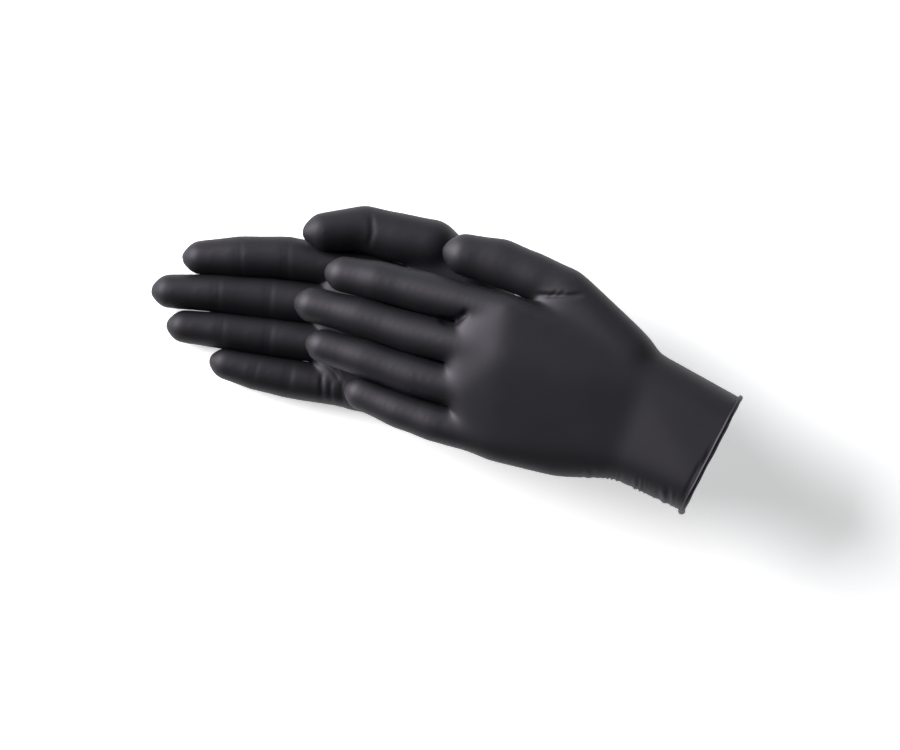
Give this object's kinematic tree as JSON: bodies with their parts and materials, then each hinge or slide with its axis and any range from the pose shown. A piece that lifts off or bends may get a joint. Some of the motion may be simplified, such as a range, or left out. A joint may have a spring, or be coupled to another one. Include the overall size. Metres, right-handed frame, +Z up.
{
  "type": "disposable nitrile gloves, pair",
  "caption": "Pair of thin black nitrile work gloves with beaded cuffs, shaped as worn and laid palm to palm, with stalls, thumbs and cuffs that bend.",
  "frame": {"origin": "on the table, under the middle of the pair's bounding box", "axes": "+X from the fingertips to the cuffs, +Y to the thumbs, +Z up from the table, through the lower glove into the upper one"},
  "size_m": [0.323, 0.1218, 0.0822],
  "materials": {
    "film": "black nitrile film, satin, with soft wide highlights and a faint blue-violet tint",
    "bead": "black nitrile rim, rolled, slightly shinier where it is thick"
  },
  "bodies": {
    "right_hand": {"right_hand_shell": "film", "right_index_stall_base": "film", "right_middle_stall_base": "film", "right_ring_stall_base": "film", "right_little_stall_base": "film"},
    "right_cuff": {"right_cuff": "film", "right_cuff_bead": "bead"},
    "right_thumb": {"right_thumb_stall": "film"},
    "right_thumb_end": {"right_thumb_tip": "film"},
    "right_index_middle": {"right_index_stall_middle": "film"},
    "right_index_end": {"right_index_stall_tip": "film"},
    "right_middle_middle": {"right_middle_stall_middle": "film"},
    "right_middle_end": {"right_middle_stall_tip": "film"},
    "right_ring_middle": {"right_ring_stall_middle": "film"},
    "right_ring_end": {"right_ring_stall_tip": "film"},
    "right_little_middle": {"right_little_stall_middle": "film"},
    "right_little_end": {"right_little_stall_tip": "film"},
    "left_hand": {"left_hand_shell": "film"},
    "left_cuff": {"left_cuff": "film", "left_cuff_bead": "bead"},
    "left_thumb": {"left_thumb_stall": "film"},
    "left_thumb_end": {"left_thumb_tip": "film"},
    "left_index": {"left_index_stall": "film"},
    "left_middle": {"left_middle_stall": "film"},
    "left_ring": {"left_ring_stall": "film"},
    "left_little": {"left_little_stall": "film"}
  },
  "joints": [
    {"name": "right_index_knuckle", "type": "hinge", "parent": "right_hand", "child": "right_index_middle", "pos_m": [-0.097, 0.021, 0.0099], "axis": [-0.1058, 0.9944, 0], "range_deg": [0, 80]},
    {"name": "right_index_end_joint", "type": "hinge", "parent": "right_index_middle", "child": "right_index_end", "pos_m": [-0.122, 0.0156, 0.0093], "axis": [-0.2111, 0.9775, 0], "range_deg": [0, 50]},
    {"name": "right_middle_knuckle", "type": "hinge", "parent": "right_hand", "child": "right_middle_middle", "pos_m": [-0.101, -0.0026, 0.0094], "axis": [-0.1261, 0.992, 0], "range_deg": [0, 80]},
    {"name": "right_middle_end_joint", "type": "hinge", "parent": "right_middle_middle", "child": "right_middle_end", "pos_m": [-0.129, -0.0064, 0.0089], "axis": [-0.1345, 0.9909, 0], "range_deg": [0, 50]},
    {"name": "right_ring_knuckle", "type": "hinge", "parent": "right_hand", "child": "right_ring_middle", "pos_m": [-0.096, -0.0226, 0.0091], "axis": [-0.0973, 0.9953, 0], "range_deg": [0, 80]},
    {"name": "right_ring_end_joint", "type": "hinge", "parent": "right_ring_middle", "child": "right_ring_end", "pos_m": [-0.122, -0.0257, 0.0087], "axis": [-0.1184, 0.993, 0], "range_deg": [0, 50]},
    {"name": "right_little_knuckle", "type": "hinge", "parent": "right_hand", "child": "right_little_middle", "pos_m": [-0.08, -0.0422, 0.0093], "axis": [-0.072, 0.9974, 0], "range_deg": [0, 80]},
    {"name": "right_little_end_joint", "type": "hinge", "parent": "right_little_middle", "child": "right_little_end", "pos_m": [-0.099, -0.0428, 0.0087], "axis": [-0.0316, 0.9995, 0], "range_deg": [0, 50]},
    {"name": "right_thumb_swing", "type": "hinge", "parent": "right_hand", "child": "right_thumb", "pos_m": [-0.03248, 0.04852, 0.01846], "axis": [-0.0767, 0, -0.9971], "range_deg": [0, 30]},
    {"name": "right_thumb_end_joint", "type": "hinge", "parent": "right_thumb", "child": "right_thumb_end", "pos_m": [-0.059, 0.0475, 0.0205], "axis": [-0.0885, 0, -0.9961], "range_deg": [0, 35]},
    {"name": "right_wrist_turn", "type": "hinge", "parent": "right_hand", "child": "right_cuff", "pos_m": [0.0318, -0.0058, 0.01755], "axis": [-0.0104, 0, 0.9999], "range_deg": [-15, 15]},
    {"name": "left_glove_lift", "type": "slide", "parent": "right_hand", "child": "left_hand", "axis": [0, 0, 1], "range_m": [0, 0.15]},
    {"name": "left_index_raise", "type": "hinge", "parent": "left_hand", "child": "left_index", "pos_m": [-0.01195, 0.02066, 0.0444], "axis": [-0.0085, 1, 0], "range_deg": [0, 25]},
    {"name": "left_middle_raise", "type": "hinge", "parent": "left_hand", "child": "left_middle", "pos_m": [-0.01184, -0.00225, 0.04417], "axis": [0.0059, 1, 0], "range_deg": [0, 25]},
    {"name": "left_ring_raise", "type": "hinge", "parent": "left_hand", "child": "left_ring", "pos_m": [-0.00836, -0.02453, 0.04364], "axis": [0.0234, 0.9997, 0], "range_deg": [0, 25]},
    {"name": "left_little_raise", "type": "hinge", "parent": "left_hand", "child": "left_little", "pos_m": [0.0072, -0.04642, 0.04401], "axis": [0.0375, 0.9993, 0], "range_deg": [0, 25]},
    {"name": "left_thumb_swing", "type": "hinge", "parent": "left_hand", "child": "left_thumb", "pos_m": [0.037, 0.0444, 0.047], "axis": [0.1305, 0, -0.9915], "range_deg": [0, 30]},
    {"name": "left_thumb_end_joint", "type": "hinge", "parent": "left_thumb", "child": "left_thumb_end", "pos_m": [0.018, 0.0478, 0.0445], "axis": [0.068, 0, -0.9977], "range_deg": [0, 15]},
    {"name": "left_wrist_bend", "type": "hinge", "parent": "left_hand", "child": "left_cuff", "pos_m": [0.1107, -0.01682, 0.0583], "axis": [-0.223, -0.9748, 0], "range_deg": [-30, 45]}
  ],
  "couplings": [
    {"joint": "right_index_end_joint", "follows": "right_index_knuckle", "ratio": 0.625},
    {"joint": "right_middle_end_joint", "follows": "right_middle_knuckle", "ratio": 0.625},
    {"joint": "right_ring_end_joint", "follows": "right_ring_knuckle", "ratio": 0.625},
    {"joint": "right_little_end_joint", "follows": "right_little_knuckle", "ratio": 0.625}
  ]
}
